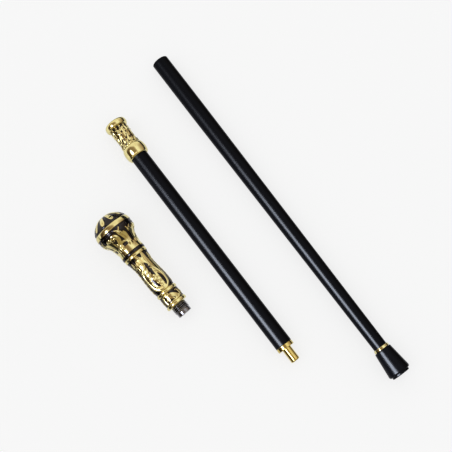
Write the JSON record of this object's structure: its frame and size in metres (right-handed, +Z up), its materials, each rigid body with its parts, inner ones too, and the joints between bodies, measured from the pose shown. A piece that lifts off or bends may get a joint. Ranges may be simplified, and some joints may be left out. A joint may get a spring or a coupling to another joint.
{
  "type": "walking cane",
  "caption": "Walking cane lying unscrewed into its sections: an ornate gilded knob handle, a collared black upper shaft and a tapering black lower shaft with a ferrule.",
  "frame": {"origin": "middle of the whole layout's footprint, on the surface that the sections lie on", "axes": "+X along the lower section from its foot to its top rim, +Z up, +Y towards the handle"},
  "size_m": [0.4574, 0.1979, 0.0455],
  "materials": {
    "gilded_casting": "polished pale gold relief over blackened ground",
    "plated_steel": "dark bright plating, machined thread",
    "turned_brass": "turned, lightly polished",
    "black_lacquer": "beech under gloss black lacquer",
    "moulded_ferrule": "moulded, gloss black"
  },
  "bodies": {
    "root": {"handle": "gilded_casting", "handle_stud": "plated_steel", "collar": "gilded_casting", "upper_shaft": "black_lacquer", "joint_fitting": "turned_brass", "lower_shaft": "black_lacquer", "ferrule_ring": "gilded_casting", "ferrule": "moulded_ferrule"}
  },
  "joints": []
}
